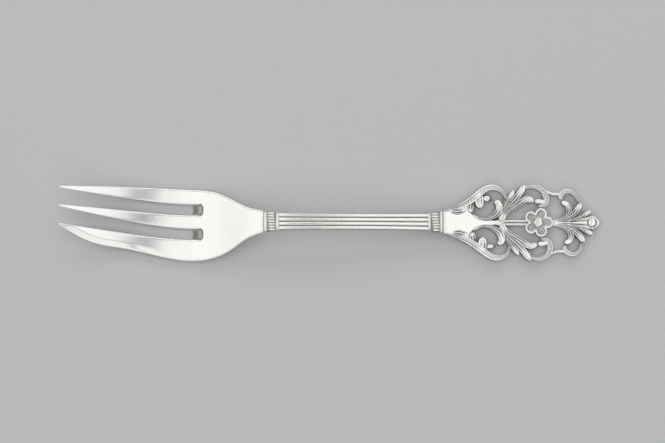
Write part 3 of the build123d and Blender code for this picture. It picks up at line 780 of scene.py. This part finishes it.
leafSpray = {
    "bars": (
        (((-9.9, 0.75), (-8.95, 3.35), (-6.95, 6.4), (-5.65, 8.45)),
         (0.8, 1.1, 1.3, 1.45, 1.55, 1.5, 1.3), (1.95,), leafTop, 0.1, 0.0, 0.9),
        (((-9.6, 0.7), (-8.9, 2.45), (-6.6, 5.0), (-4.4, 7.4), (-2.7, 9.8)),
         (0.8, 1.2, 1.5, 1.75, 1.95, 2.0, 1.7), (leafHeight,), leafTop, 0.05, 0.0, 1.15),
        (((-9.1, 0.65), (-8.6, 1.75), (-4.8, 4.7), (-2.35, 6.1), (-0.75, 5.55)),
         (1.0, 1.4, 1.55, 1.7, 1.85, 1.9, 1.7), (2.15, 2.3), leafTop, 0.2, 0.0, 0.85),
        (((-16.9, 1.95), (-15.2, 1.15), (-13.0, 1.05), (-11.0, 1.95), (-9.8, 3.6), (-10.0, 5.0), (-11.0, 5.4)),
         (0.5, 0.6, 0.75, 1.1, 1.5, 1.9, 2.2, 2.0, 1.4), (2.35, leafHeight), leafTop, 0.15, 0.9, 0.6),
    ),
}
middleScroll = {
    "bars": (
        (((-2.75, 9.1), (-1.2, 9.42), (1.1, 8.9), (2.55, 7.0), (2.2, 4.85), (0.3, 4.3)),
         (0.6, 0.95, 1.05, 1.2, 1.45, 1.65, 1.7, 1.5, 1.1, 0.7), (scrollHeight,), scrollTop, 0.0, 0.3, 0.3),
        (((2.1, 5.3), (0.8, 5.55), (-0.45, 5.5)), (0.9, 1.35, 1.4, 1.2), (scrollHeight, leafHeight),
         roundTop, 0.1, 0.0, 0.65),
    ),
    "hatch": (0.08, 0.92),
}
endScroll = {
    "bars": (
        (((6.48, 6.0), (6.42, 7.0), (7.1, 7.8), (8.15, 8.2), (9.2, 8.0), (10.4, 6.8), (10.83, 5.2)),
         (0.8, 1.4, 1.45, 1.25, 1.1, 0.95, 0.75, 0.5), (scrollHeight,), scrollTop, 0.0, 0.3, 0.3),
        (((2.6, 8.2), (4.4, 7.5), (6.2, 7.5)), (0.75, 0.8, 0.85, 0.95), (2.0,), roundTop, 0.1),
    ),
    "hatch": (0.2, 0.95),
}


def makeSidePiece(name, node, side, piece):
    shell = newShell()
    for bar in piece["bars"]:
        addBar(shell, side, *bar)
    if "buds" in piece:  # a round bud on the right, a longer beak on the left
        spot, radii = piece["buds"][side]
        x, y = finialPlace([spot], side)[0]
        addBall(shell, (x, y, piece["budLevel"]), radii)
    finishPiece(name, shell, node, "chased_silver")


for name, side in (("right", 1), ("left", -1)):
    makeSidePiece(name + "OuterScroll", name + "_outer_scroll", side, outerScroll)
    makeSidePiece(name + "LeafSpray", name + "_leaf_spray", side, leafSpray)
    makeSidePiece(name + "MiddleScroll", name + "_middle_scroll", side, middleScroll)
    makeSidePiece(name + "EndScroll", name + "_end_scroll", side, endScroll)


# Stalk: its ribs grip the plate's tongue, and its pad carries the rosette
stalk = {
    "bar": (((-11.6, 0), (-4, 0), (4.2, 0)), (1.75,), (stalkHeight,), ribTop),
    "pad": ((2.3, 0), (2.3, 1.5), (2.2, 1.6)), "padDark": (0.6, 0.8, 0.8),
}
stalkShell = newShell()
addBar(stalkShell, 1, *stalk["bar"])
# The pad under the rosette gets painted shade
addTurned(stalkShell, (rosetteX, 0), stalk["pad"], stalk["padDark"])
finishPiece("stalk", stalkShell, "stalk", "chased_silver")


# End spray: leaves on both sides of the axis and a drop-shaped setting
endSpray = {
    "drop": (((4.2, 0), (9.0, 0), (endX - rosetteX, 0)),
             (1.75, 1.65, 1.6, 1.6, 1.7, 2.1, 2.6, 3.2, 3.7, 3.8, 3.8),
             (stalkHeight, 1.5, 1.55), leafTop, 0.0, 0.0, 1.9),
    "leaves": (
        (((3.9, 0.5), (6.7, 1.2), (8.3, 3.0), (7.8, 4.8), (6.45, 5.2)),
         (0.6, 0.85, 1.15, 1.5, 1.7, 1.75, 1.65, 1.3), (stalkHeight, leafHeight), leafTop, 0.1, 0.0, 0.6),
        (((5.6, 0.45), (8.75, 1.7), (11.6, 5.0)), (0.6, 1.0, 1.4, 1.75, 1.9, 1.65),
         (stalkHeight, leafHeight), leafTop, 0.2, 0.8, 1.05),
        (((7.6, 0.4), (11.35, 1.6), (13.95, 3.1)), (0.5, 0.8, 1.2, 1.45, 1.4),
         (stalkHeight, 2.0), leafTop, 0.15, 0.8, 0.85),
    ),
}
endShell = newShell()
addBar(endShell, 1, *endSpray["drop"])
for side in (1, -1):
    for leaf in endSpray["leaves"]:
        addBar(endShell, side, *leaf)
finishPiece("endSpray", endShell, "end_spray", "chased_silver")


# Polished bead in the drop
def domeOutline(form, rows=14, poleGap=0.02):
    # Half outline of a dome; a crown over 2 gives a flatter top
    turn, power = np.linspace(0, np.pi / 2 - poleGap, rows), 2 / form["crown"]
    out, up = form["radius"] * np.cos(turn) ** power, form["base"] + form["rise"] * np.sin(turn) ** power
    return columns(out, up)


tipBead = {"radius": 1.4, "base": 1.1, "rise": 1.2, "crown": 3.0, "fromEnd": 1.9, "seatDark": 0.8}
tipShell = newShell()
tipDome = domeOutline(tipBead)
# Painted shade at the bead's seat, where it meets the drop
tipDark = np.concatenate([[tipBead["seatDark"]], np.zeros(len(tipDome) - 1)])
addTurned(tipShell, (endX - tipBead["fromEnd"], 0), tipDome, tipDark)
finishPiece("tipBead", tipShell, "tip_bead", "polished_silver")


# Rosette: five petals inside one lobed rim, on a polar grid
rosette = {
    "petals": 5, "distance": 2.35, "radius": 1.5, "low": 1.6, "top": 2.62, "rim": 0.46, "rimEdge": 0.1,
    "wall": 0.06, "dish": 0.2, "dishReach": 0.6, "ridge": 0.2, "spokes": 250, "rows": 44, "inwards": 0.97,
    "dishDark": 0.6, "creaseDark": 0.3, "creaseWidth": 0.12, "ridgeBright": 0.7, "rimBright": 0.8,
    "darkGain": 3,
}
boss = {
    "radius": 1.4, "base": 2.2, "rise": 1.0, "crown": 3.6, "segments": 40, "grain": 0.16, "grainFlat": 0.25,
    "spacing": 0.5, "density": 9e7, "seed": 7,
}
rosetteSpokes = np.linspace(0, 2 * np.pi, rosette["spokes"], endpoint=False)
halfSector = np.pi / rosette["petals"]
lean = (rosetteSpokes + halfSector) % (2 * halfSector) - halfSector
reach = rosette["distance"] * np.cos(lean)
reach = reach + np.sqrt(rosette["radius"] ** 2 - (rosette["distance"] * np.sin(lean)) ** 2)
petalRim = reach[:, None] * circle(rosetteSpokes)
rings, recess = [], []
rowTurn = np.linspace(0, np.pi / 2, rosette["rows"])
rowShares = np.concatenate([[1.0], 1 - (1 - np.cos(rowTurn)) * rosette["inwards"]])
for row, share in enumerate(rowShares):
    places = share * petalRim
    edge = distanceTo(places, petalRim, True)
    bead = ramp(rosette["rim"], edge, rosette["wall"])
    hollow = np.sin(ramp(edge, rosette["rim"], rosette["dishReach"]) * np.pi / 2)
    ridge = hump(share * reach * np.sin(halfSector - np.abs(lean)), rosette["ridge"]) * (1 - bead)
    ridge = ridge * np.clip(share * reach - boss["radius"], 0, 1)
    level = rosette["top"] - rolled(edge, rosette["rimEdge"], rosette["rimEdge"])
    level = level - rosette["dish"] * hollow * (1 - ridge)
    # Tarnish and painted shade in the petals' dishes and in the crease inside the rim; the ridges and the rim
    # are kept free of it
    shade = rosette["dishDark"] * np.minimum(1, rosette["darkGain"] * hollow)
    shade = shade + rosette["creaseDark"] * hump(edge - rosette["rim"], rosette["creaseWidth"])
    if row == 0:
        level, shade = rosette["low"], rosette["dishDark"]
    rings.append(columns(rosetteX + places[:, 0], places[:, 1], level))
    recess.append(np.clip(shade - rosette["ridgeBright"] * ridge - rosette["rimBright"] * bead, 0, 1))
rosetteShell = newShell()
addRings(rosetteShell, rings, recess)
finishPiece("rosette", rosetteShell, "rosette", "chased_silver")
print("solid forms made")


# Geometry Nodes: marks set along a path, grains scattered on a dome, and a reeded bar
def newTree(name, inputs):
    tree = bpy.data.node_groups.new(name, "GeometryNodeTree")
    for label, kind in (*inputs, ("Finish", "Material")):
        tree.interface.new_socket(label, in_out="INPUT", socket_type="NodeSocket" + kind)
    tree.interface.new_socket("Geometry", in_out="OUTPUT", socket_type="NodeSocketGeometry")
    return tree, addNode(tree, "NodeGroupInput"), addNode(tree, "NodeGroupOutput")


def closeTree(tree, given, result, last, output):
    # Every tree ends in plain mesh, smooth shading and its finish
    realize = addNode(tree, "GeometryNodeRealizeInstances")
    smooth = addNode(tree, "GeometryNodeSetShadeSmooth")
    finish = addNode(tree, "GeometryNodeSetMaterial")
    joinUp(
        tree,
        (last, output, realize, "Geometry"), (realize, "Geometry", smooth, "Geometry"),
        (smooth, "Geometry", finish, "Geometry"), (given, "Finish", finish, "Material"),
        (finish, "Geometry", result, "Geometry"),
    )
    return tree


def marksTree():
    # Small rounded marks at equal steps along a path; the path's radius gives their length across it
    tree, given, result = newTree("marks along a path", (
        ("Path", "Object"), ("Count", "Int"), ("Width", "Float"), ("Tall", "Float")))
    path = addNode(tree, "GeometryNodeObjectInfo")
    spots = addNode(tree, "GeometryNodeCurveToPoints")
    turn = addNode(tree, "FunctionNodeAlignRotationToVector", axis="X")
    size = addNode(tree, "ShaderNodeCombineXYZ")
    reach = addNode(tree, "GeometryNodeInputRadius")
    mark = addNode(tree, "GeometryNodeMeshUVSphere", {"Segments": 10, "Rings": 6, "Radius": 0.5})
    place = addNode(tree, "GeometryNodeInstanceOnPoints")
    joinUp(
        tree,
        (given, "Path", path, "Object"), (path, "Geometry", spots, "Curve"),
        (given, "Count", spots, "Count"), (spots, "Tangent", turn, "Vector"), (given, "Width", size, "X"),
        (reach, "Radius", size, "Y"), (given, "Tall", size, "Z"), (spots, "Points", place, "Points"),
        (mark, "Mesh", place, "Instance"), (turn, "Rotation", place, "Rotation"),
        (size, "Vector", place, "Scale"),
    )
    return closeTree(tree, given, result, place, "Instances")


def grainsTree():
    # Round grains spread over a dome, kept together with it
    tree, given, result = newTree("grains on a dome", (
        ("Dome", "Object"), ("Spacing", "Float"), ("Grain", "Float"), ("Seed", "Int")))
    ground = addNode(tree, "GeometryNodeObjectInfo")
    spread = addNode(tree, "GeometryNodeDistributePointsOnFaces", {"Density Max": boss["density"]},
                     distribute_method="POISSON")
    grain = addNode(tree, "GeometryNodeMeshIcoSphere", {"Subdivisions": 2})
    place = addNode(tree, "GeometryNodeInstanceOnPoints", {"Scale": (1.0, 1.0, boss["grainFlat"])})
    together = addNode(tree, "GeometryNodeJoinGeometry")
    joinUp(
        tree,
        (given, "Dome", ground, "Object"), (ground, "Geometry", spread, "Mesh"),
        (given, "Spacing", spread, "Distance Min"), (given, "Seed", spread, "Seed"),
        (given, "Grain", grain, "Radius"), (spread, "Points", place, "Points"),
        (spread, "Rotation", place, "Rotation"), (grain, "Mesh", place, "Instance"),
        (place, "Instances", together, "Geometry"), (ground, "Geometry", together, "Geometry"),
    )
    return closeTree(tree, given, result, together, "Geometry")


def reedsTree():
    # Reeded section swept along the stem and waisted in the middle, with tarnish and painted shade in its
    # grooves
    tree, given, result = newTree("reeded bar", (
        ("Path", "Object"), ("Section", "Object"), ("Waist", "Float"), ("Groove", "Float"), ("Crest", "Float"),
        ("Flank", "Float")))
    path = addNode(tree, "GeometryNodeObjectInfo")
    section = addNode(tree, "GeometryNodeObjectInfo")
    where = addNode(tree, "GeometryNodeSplineParameter")
    middle = addNode(tree, "ShaderNodeMath", {1: 2.0, 2: -1.0}, operation="MULTIPLY_ADD")
    square = addNode(tree, "ShaderNodeMath", operation="MULTIPLY")
    scale = addNode(tree, "ShaderNodeMapRange", {"To Max": 1.0})
    spot = addNode(tree, "GeometryNodeInputPosition")
    split = addNode(tree, "ShaderNodeSeparateXYZ")
    depth = addNode(tree, "ShaderNodeMapRange", {"To Min": 1.0, "To Max": 0.0})
    slope = addNode(tree, "ShaderNodeMapRange", {"To Min": 1.0, "To Max": 0.0})
    both = addNode(tree, "ShaderNodeMath", operation="MULTIPLY")
    store = addNode(tree, "GeometryNodeStoreNamedAttribute", {"Name": "recess"})
    sweep = addNode(tree, "GeometryNodeCurveToMesh", {"Fill Caps": True})
    joinUp(
        tree,
        (given, "Path", path, "Object"), (given, "Section", section, "Object"),
        (where, "Factor", middle, 0), (middle, "Value", square, 0), (middle, "Value", square, 1),
        (square, "Value", scale, "Value"), (given, "Waist", scale, "To Min"),
        (spot, "Position", split, "Vector"), (split, "Y", depth, "Value"),
        (given, "Groove", depth, "From Min"), (given, "Crest", depth, "From Max"),
        (split, "Y", slope, "Value"), (given, "Groove", slope, "From Min"),
        (given, "Flank", slope, "From Max"), (depth, "Result", both, 0), (slope, "Result", both, 1),
        (section, "Geometry", store, "Geometry"), (both, "Value", store, "Value"),
        (path, "Geometry", sweep, "Curve"), (store, "Geometry", sweep, "Profile Curve"),
        (scale, "Result", sweep, "Scale"),
    )
    return closeTree(tree, given, result, sweep, "Mesh")


def lineObject(name, points, radii, closed=False):
    # Helper curve for the trees, with a radius for each point or one for all, taken away again afterwards
    curve = bpy.data.curves.new(name, "CURVE")
    curve.dimensions = "3D"
    curve.twist_mode = "Z_UP"
    spline = curve.splines.new("POLY")
    spline.points.add(len(points) - 1)
    for spot, place, radius in zip(spline.points, points, np.broadcast_to(radii, len(points))):
        spot.co = (place[0] * mm, place[1] * mm, place[2] * mm, 1)
        spot.radius = radius * mm
    spline.use_cyclic_u = closed
    return placeObject(name, curve)


def growPiece(name, tree, values, slot, helpers, node=None, sharp=None):
    piece = placeObject(name, bpy.data.meshes.new(name))
    values = {**values, "Finish": finishes[slot]}
    grow = piece.modifiers.new("grow", "NODES")
    grow.node_group = tree
    for item in tree.interface.items_tree:
        if item.in_out == "INPUT":
            grow[item.identifier] = values[item.name]
    ready = piece.evaluated_get(bpy.context.evaluated_depsgraph_get())
    mesh = bpy.data.meshes.new_from_object(ready)
    piece.modifiers.remove(grow)
    piece.data = mesh
    if sharp:
        mesh.set_sharp_from_angle(angle=math.radians(sharp))
    for helper in helpers:
        bpy.data.objects.remove(helper)
    handOver(piece, node)
    print("grown", name, len(mesh.polygons), "faces")


marks, grains, reeds = marksTree(), grainsTree(), reedsTree()


def growMarks(name, path, count, width, tall):
    values = {"Path": path, "Count": count, "Width": width * mm, "Tall": tall * mm}
    growPiece(name, marks, values, "chased_silver", (path,))


# Stem
stem = {
    "width": 4.5, "waist": 0.93, "thick": 2.7, "reeds": 4, "groove": 0.6, "back": 0.35, "perReed": 17,
    "fullness": 0.85, "crest": 0.15, "flank": 1.3, "stations": 90, "backSteps": 15,
}
halfThick = stem["thick"] / 2


def stemSection():
    half = stem["width"] / 2
    pitch = stem["width"] / stem["reeds"]
    top = []
    for reed in range(stem["reeds"]):
        turn = np.linspace(0, np.pi, stem["perReed"])[(0 if reed == 0 else 1):]
        middle = -half + (reed + 0.5) * pitch
        rise = stem["thick"] - stem["groove"] * (1 - np.abs(np.sin(turn)) ** stem["fullness"])
        top.append(columns(middle - pitch / 2 * np.cos(turn), rise, 0))
    sides = np.linspace(half, -half, stem["backSteps"])
    low = columns(sides, stem["back"] * (sides / half) ** 2, 0)
    return np.concatenate(top + [low])


# A radius of 1 in the tree's unit leaves the section at its own size
stemRun = np.linspace(stemX, stemEndX, stem["stations"])
stemPlaces = columns(stemRun, 0, underside(stemRun) + halfThick)
section = (stemSection() - np.array([0, halfThick, 0])) * np.array([1, -1, 1])
stemPath = lineObject("stemPath", stemPlaces, 1 / mm)
stemRing = lineObject("stemRing", section, 1 / mm, True)
# Groove, Crest and Flank set where in the grooves the painted shade and tarnish lie
growPiece("stem", reeds, {
    "Path": stemPath, "Section": stemRing, "Waist": stem["waist"], "Groove": (stem["groove"] - halfThick) * mm,
    "Crest": (stem["crest"] * stem["groove"] - halfThick) * mm,
    "Flank": (stem["flank"] * stem["groove"] - halfThick) * mm,
}, "polished_silver", (stemPath, stemRing), "stem", sharp=50)


# Beads of the ferrules
def collarBeads(name, stemSide, farSide):
    middle = (stemSide + farSide) / 2
    half = collarWidth(middle, stemSide, farSide) / 2 - collar["step"]
    pitch = 2 * half / collar["beads"]
    y = np.linspace(-half + pitch / 2, half - pitch / 2, collar["beads"])
    level = underside(middle) + collar["thick"] - collar["step"] - collar["beadSunk"]
    spots = columns(middle, y, level - collar["crown"] * (y / half) ** 2)
    length = collar["length"] - 2 * collar["fillet"] + collar["beadLap"]
    path = lineObject(name + "Path", spots, length)
    growMarks(name, path, collar["beads"], collar["beadWide"] * pitch, collar["beadTall"])


collarBeads("neckBeads", stemX, neckX)
collarBeads("finialBeads", stemEndX, shoulderX)


# Hatching in the sunk band of the scrolls
hatch = {"pitch": 0.5, "width": 0.25, "tall": 0.2, "share": 0.95, "stations": 60}


def scrollHatch(name, side, scroll):
    points, widths, heights = scroll["bars"][0][:3]
    start, end = scroll["hatch"]
    curve = PlanCurve(finialPlace(points, side))
    run = np.linspace(start * curve.length, end * curve.length, hatch["stations"])
    share = run / curve.length
    half = spreadOut(widths, share) / 2
    lip = half - np.minimum(barForm["draft"], barForm["draftShare"] * half)
    rim, band = scrollParts(lip)
    outward = side * (lip - rim - band / 2)
    place = curve.at(run) + outward[:, None] * leftOf(curve.along(run))
    height = spreadOut(heights, share)
    sunk = scrollForm["step"] + scrollForm["fall"] * (rim + band / 2) / (2 * lip)
    sunk = np.minimum(1, lip / scrollForm["fullHalf"]) * sunk
    z = underside(place[:, 0]) + height - sunk
    path = lineObject(name + "Path", columns(place, z), hatch["share"] * band)
    count = int((end - start) * curve.length / hatch["pitch"])
    growMarks(name, path, count, hatch["width"], hatch["tall"])


for name, side in (("right", 1), ("left", -1)):
    scrollHatch(name + "OuterHatch", side, outerScroll)
    scrollHatch(name + "MiddleHatch", side, middleScroll)
    scrollHatch(name + "EndHatch", side, endScroll)


# Veins of the petals and the grained boss
vein = {"perPetal": 5, "circle": 2.45, "length": 1.15, "width": 0.13, "tall": 0.2, "sunk": 0.03}
veinCount = vein["perPetal"] * rosette["petals"]
turn = (np.arange(veinCount) + 0.5) * 2 * np.pi / veinCount - halfSector
veinLevel = rosette["top"] - rosette["dish"] - vein["sunk"]
veinSpots = np.array([rosetteX, 0]) + vein["circle"] * circle(turn)
veinSpots = columns(veinSpots, veinLevel)
veinPath = lineObject("veinPath", veinSpots, vein["length"], True)
growMarks("petalVeins", veinPath, veinCount, vein["width"], vein["tall"])

bossShell = newShell()
bossOutline = domeOutline(boss)
addTurned(bossShell, (rosetteX, 0), bossOutline, np.zeros(len(bossOutline)), boss["segments"])
bossDome = placeObject("bossDome", shellMesh("bossDome", bossShell))
growPiece("rosetteBead", grains, {
    "Dome": bossDome, "Spacing": boss["spacing"] * mm, "Grain": boss["grain"] * mm, "Seed": boss["seed"],
}, "chased_silver", (bossDome,), "rosette_bead")


# Punched dots beside the finial's ferrule
dots = {"count": 8, "fromCollar": 0.7, "half": 2.1, "size": 0.3, "tall": 0.08}
dotY = np.linspace(-dots["half"], dots["half"], dots["count"])
dotX = shoulderX + dots["fromCollar"]
dotSpots = columns(dotX, dotY, topside(dotX))
dotPath = lineObject("dotPath", dotSpots, dots["size"])
growMarks("punchedDots", dotPath, dots["count"], dots["size"], dots["tall"])
print("grown details made")


# Floor, light and camera
stage = {
    "floor": (0.7, 0.7, 0.695, 1), "floorReach": 3.0, "floorRough": 0.9, "floorShine": 0.1, "fill": 0.2,
    # Name, place, aim, size and glow; the two overhead panels leave a narrow dark gap, which the tines mirror
    "panels": (
        ("overhead panel on the left", (-0.66, 0.15, 1.15), (-0.66, 0.15, 0), (1.3, 1.3), 0.88),
        ("overhead panel on the right", (0.56, 0.15, 1.15), (0.56, 0.15, 0), (0.9, 1.3), 0.88),
        ("far side panel", (0.1, 0.95, 0.6), (0, 0, 0), (1.4, 0.45), 1.5),
        ("near side panel", (-0.1, -0.85, 0.9), (0, 0, 0), (1.3, 0.7), 0.8),
    ),
}
floorMaterial = bpy.data.materials.new("pale floor")
floorMaterial.use_nodes = True
floorShader = floorMaterial.node_tree.nodes["Principled BSDF"]
floorShader.inputs["Base Color"].default_value = stage["floor"]
floorShader.inputs["Roughness"].default_value = stage["floorRough"]
floorShader.inputs["Specular IOR Level"].default_value = stage["floorShine"]
floorMesh = bpy.data.meshes.new("floor")
reach = stage["floorReach"]
floorCorners = [(-reach, -reach, 0), (reach, -reach, 0), (reach, reach, 0), (-reach, reach, 0)]
floorMesh.from_pydata(floorCorners, [], [(0, 1, 2, 3)])
floorMesh.materials.append(floorMaterial)
floor = placeObject("floor", floorMesh)

world = bpy.data.worlds.new("studio")
world.use_nodes = True
bpy.context.scene.world = world
sky = world.node_tree.nodes["Background"]
sky.inputs["Color"].default_value = (1, 1, 1, 1)
sky.inputs["Strength"].default_value = stage["fill"]


def softLight(name, place, aim, size, glow):
    # Panel whose face has the given brightness
    lamp = bpy.data.lights.new(name, "AREA")
    lamp.shape = "RECTANGLE"
    lamp.size, lamp.size_y = size
    lamp.energy = glow * math.pi * size[0] * size[1]
    holder = placeObject(name, lamp)
    holder.location = place
    holder.rotation_euler = (Vector(aim) - Vector(place)).to_track_quat("-Z", "Y").to_euler()


for panel in stage["panels"]:
    softLight(*panel)

view = {"width": 665, "scale": 0.2612, "eye": (0.5, -31.0, 450.0), "aim": (0.522, 0.457, 0.0), "sensor": 36.0}
camera = placeObject("camera", bpy.data.cameras.new("camera"))
sight = Vector(view["aim"]) - Vector(view["eye"])
camera.location = Vector(view["eye"]) * mm
camera.rotation_euler = sight.to_track_quat("-Z", "Y").to_euler()
camera.data.sensor_width = view["sensor"]
camera.data.lens = view["sensor"] * sight.length / (view["width"] * view["scale"])
bpy.context.scene.camera = camera
bpy.context.scene.view_settings.view_transform = "Standard"
print("stage set")
